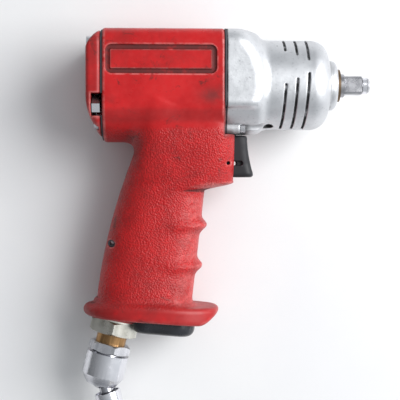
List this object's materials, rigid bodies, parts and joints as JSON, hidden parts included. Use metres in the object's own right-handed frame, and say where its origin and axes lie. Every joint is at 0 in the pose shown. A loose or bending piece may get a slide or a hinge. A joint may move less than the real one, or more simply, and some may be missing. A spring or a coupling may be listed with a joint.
{
  "type": "pneumatic impact wrench",
  "caption": "Pistol-grip air impact wrench with a square drive, bare aluminium hammer case, red motor housing and grip, black trigger and a swivelling air inlet.",
  "frame": {"origin": "centre of the square drive, at the shoulder where it leaves the hammer case", "axes": "+X out along the square drive; +Y toward the top of the tool, with the grip hanging toward -Y; +Z out of the tool's right side, up when it lies on its left side"},
  "size_m": [0.1519, 0.2345, 0.0529],
  "materials": {
    "red_housing": "red moulded composite, satin, scuffed and grimy",
    "cast_aluminium": "satin as-cast aluminium with fine scratches",
    "hard_steel": "ground hardened steel",
    "bright_chrome": "worn bright plating",
    "nickel": "dull nickel plating",
    "brass": "machined brass",
    "bronze": "sintered bronze",
    "black_plastic": "moulded glass-filled nylon",
    "black_rubber": "nitrile rubber",
    "vane_composite": "phenolic laminate",
    "felt": "pressed felt"
  },
  "bodies": {
    "tool": {"hammer_case": "cast_aluminium", "grease_plug": "hard_steel", "anvil_bushing": "bronze", "case_gasket": "black_rubber", "case_screws": "hard_steel", "motor_housing": "red_housing", "cylinder_liner": "hard_steel", "front_end_plate": "hard_steel", "front_bearing": "bright_chrome", "rear_end_plate": "hard_steel", "rear_bearing": "bright_chrome", "cover_gasket": "black_rubber", "rear_cover": "red_housing", "lever_detent": "bright_chrome", "through_bolts": "hard_steel", "cover_screws": "hard_steel", "trigger_pin": "hard_steel", "rod_bush": "brass", "rod_seal": "black_rubber", "valve_seat": "brass", "valve_spring": "hard_steel", "grip_pin": "hard_steel", "exhaust_deflector": "black_plastic", "deflector_screw": "hard_steel", "exhaust_muffler": "felt", "inlet_washer": "nickel", "inlet_bushing": "nickel", "inlet_screen": "bright_chrome", "inlet_nipple": "brass", "swivel_body": "bright_chrome"},
    "trigger": {"trigger": "black_plastic", "trigger_rod": "bright_chrome"},
    "throttle": {"throttle_valve": "black_plastic"},
    "drive": {"anvil": "hard_steel", "retaining_ring": "bright_chrome", "ring_cushion": "black_rubber"},
    "hammer": {"hammer_cage": "hard_steel", "hammer_dogs": "hard_steel", "hammer_pins": "hard_steel"},
    "motor": {"rotor": "hard_steel", "rotor_vanes": "vane_composite"},
    "reverser": {"reverse_lever": "bright_chrome", "reverse_valve": "brass"},
    "swivel_ring": {"swivel_sleeve": "bright_chrome", "sleeve_clip": "hard_steel", "swivel_seal": "black_rubber"},
    "swivel_end": {"swivel_stem": "bright_chrome", "air_plug": "nickel"}
  },
  "joints": [
    {"name": "trigger_pull", "type": "slide", "parent": "tool", "child": "trigger", "axis": [-1, 0, 0], "range_m": [0, 0.004], "stiffness_N_per_m": 1200, "springref_m": -0.005, "deforming": ["valve_spring"]},
    {"name": "throttle_open", "type": "slide", "parent": "tool", "child": "throttle", "axis": [-1, 0, 0], "range_m": [0, 0.004]},
    {"name": "hammer_spin", "type": "hinge", "parent": "tool", "child": "hammer", "pos_m": [0, 0, 0], "axis": [1, 0, 0], "continuous": true},
    {"name": "anvil_spin", "type": "hinge", "parent": "tool", "child": "drive", "pos_m": [0, 0, 0], "axis": [1, 0, 0], "continuous": true},
    {"name": "rotor_spin", "type": "hinge", "parent": "tool", "child": "motor", "pos_m": [0, 0, 0], "axis": [1, 0, 0], "continuous": true},
    {"name": "reverse_turn", "type": "hinge", "parent": "tool", "child": "reverser", "pos_m": [0, 0, 0], "axis": [1, 0, 0], "range_deg": [-4, 4]},
    {"name": "swivel_spin", "type": "hinge", "parent": "tool", "child": "swivel_ring", "pos_m": [-0.1287, -0.15351, -0.00389], "axis": [-0.2334, -0.9721, -0.0246], "continuous": true},
    {"name": "swivel_bend", "type": "hinge", "parent": "swivel_ring", "child": "swivel_end", "pos_m": [-0.1287, -0.15351, -0.00389], "axis": [0, 0.0253, -0.9997], "range_deg": [-0.8, 59]}
  ],
  "couplings": [
    {"joint": "throttle_open", "follows": "trigger_pull", "ratio": 1},
    {"joint": "anvil_spin", "follows": "hammer_spin", "ratio": 1},
    {"joint": "rotor_spin", "follows": "hammer_spin", "ratio": 1}
  ]
}
